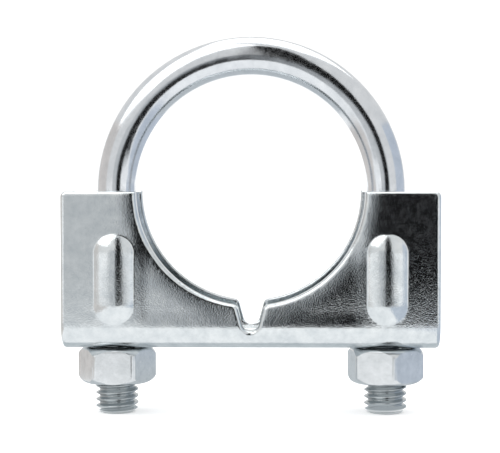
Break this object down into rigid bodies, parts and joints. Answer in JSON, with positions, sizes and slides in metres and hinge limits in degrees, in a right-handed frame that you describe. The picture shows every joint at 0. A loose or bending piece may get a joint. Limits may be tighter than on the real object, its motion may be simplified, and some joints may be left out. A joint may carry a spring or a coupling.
{
  "type": "u-bolt pipe clamp",
  "caption": "U-bolt pipe clamp: a round-rod bow with threaded legs through a pressed channel saddle with a round seat, held by hex nuts.",
  "frame": {"origin": "centre of the clamped pipe, on its axis, half-way between the saddle's two walls", "axes": "+Y along the pipe, +Z from the nuts towards the bow's crown along the legs, +X from the left leg to the right leg"},
  "size_m": [0.0696, 0.0186, 0.0704],
  "materials": {
    "bright_zinc_rod": "bright zinc plate on drawn steel rod",
    "bright_zinc_sheet": "bright zinc plate on pressed steel sheet, mottled",
    "satin_zinc_nut": "satin zinc plate on a forged nut"
  },
  "bodies": {
    "u_bolt": {"u_bolt": "bright_zinc_rod"},
    "saddle": {"saddle": "bright_zinc_sheet"},
    "left_nut": {"left_nut": "satin_zinc_nut"},
    "right_nut": {"right_nut": "satin_zinc_nut"}
  },
  "joints": [
    {"name": "saddle_slide", "type": "slide", "parent": "u_bolt", "child": "saddle", "axis": [0, 0, 1], "range_m": [-0.005, 0.008]},
    {"name": "left_nut_turn", "type": "hinge", "parent": "saddle", "child": "left_nut", "pos_m": [-0.02525, 0, -0.03255], "axis": [0, 0, 1], "range_deg": [-1440.01, 2304.01]},
    {"name": "right_nut_turn", "type": "hinge", "parent": "saddle", "child": "right_nut", "pos_m": [0.02525, 0, -0.03255], "axis": [0, 0, 1], "range_deg": [-1440.01, 2304.01]}
  ],
  "couplings": [
    {"joint": "left_nut_turn", "follows": "saddle_slide", "rad_per_m": 5026.5},
    {"joint": "right_nut_turn", "follows": "saddle_slide", "rad_per_m": 5026.5}
  ]
}
